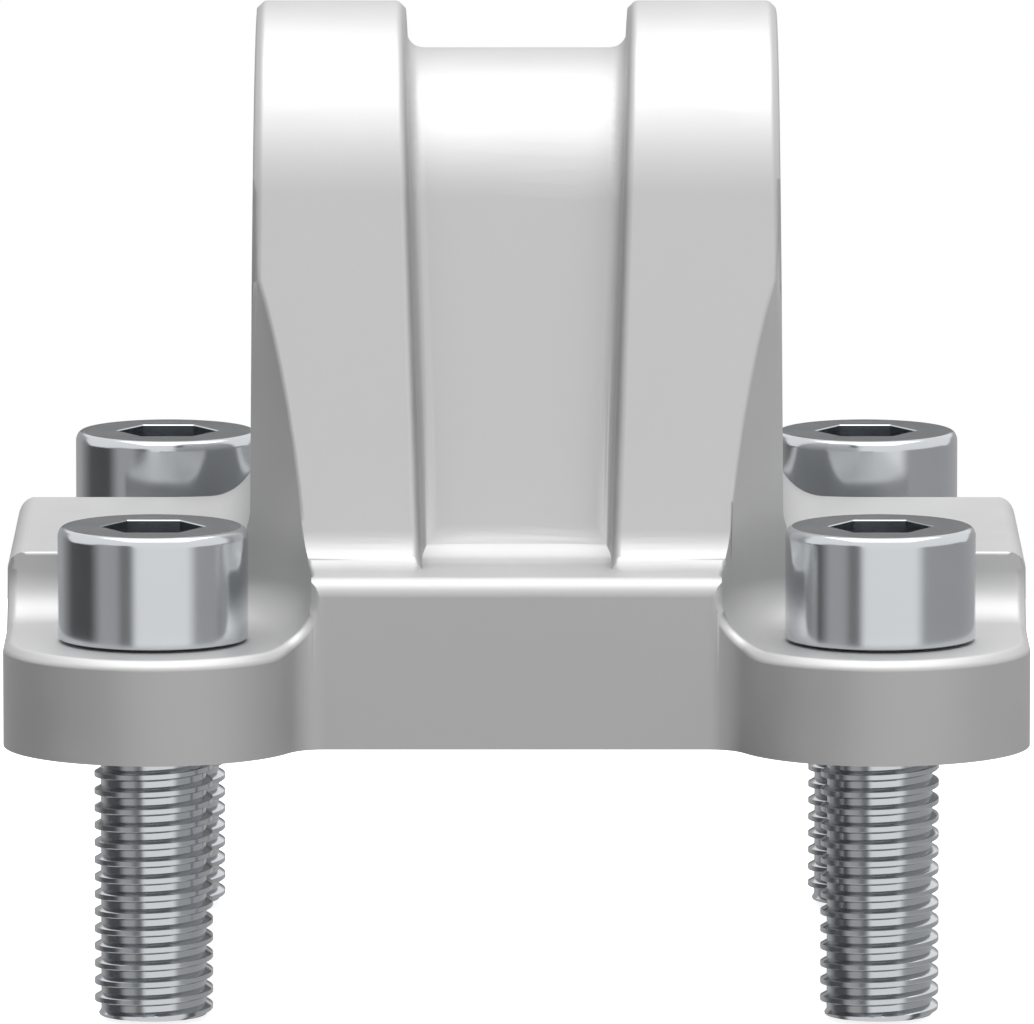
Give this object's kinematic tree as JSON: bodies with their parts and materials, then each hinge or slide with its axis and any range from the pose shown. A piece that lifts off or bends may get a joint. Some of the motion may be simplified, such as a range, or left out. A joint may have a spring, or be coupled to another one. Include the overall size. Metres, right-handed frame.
{
  "type": "cylinder rear clevis mount",
  "caption": "Cast aluminium rear mount for a pneumatic cylinder: a lobed square flange with a wide tongue bored for a pivot pin, and the socket head cap screws that fasten it.",
  "frame": {"origin": "centre of the mounting face, on the cylinder's axis", "axes": "+Z from the cylinder up through the tongue, +X along the pivot bore"},
  "size_m": [0.0538, 0.0536, 0.0515],
  "materials": {
    "cast_aluminium": "satin",
    "screw_steel": "gloss"
  },
  "bodies": {
    "root": {"clevis_casting": "cast_aluminium", "cap_screw_front_left": "screw_steel", "cap_screw_front_right": "screw_steel", "cap_screw_rear_left": "screw_steel", "cap_screw_rear_right": "screw_steel"}
  },
  "joints": []
}
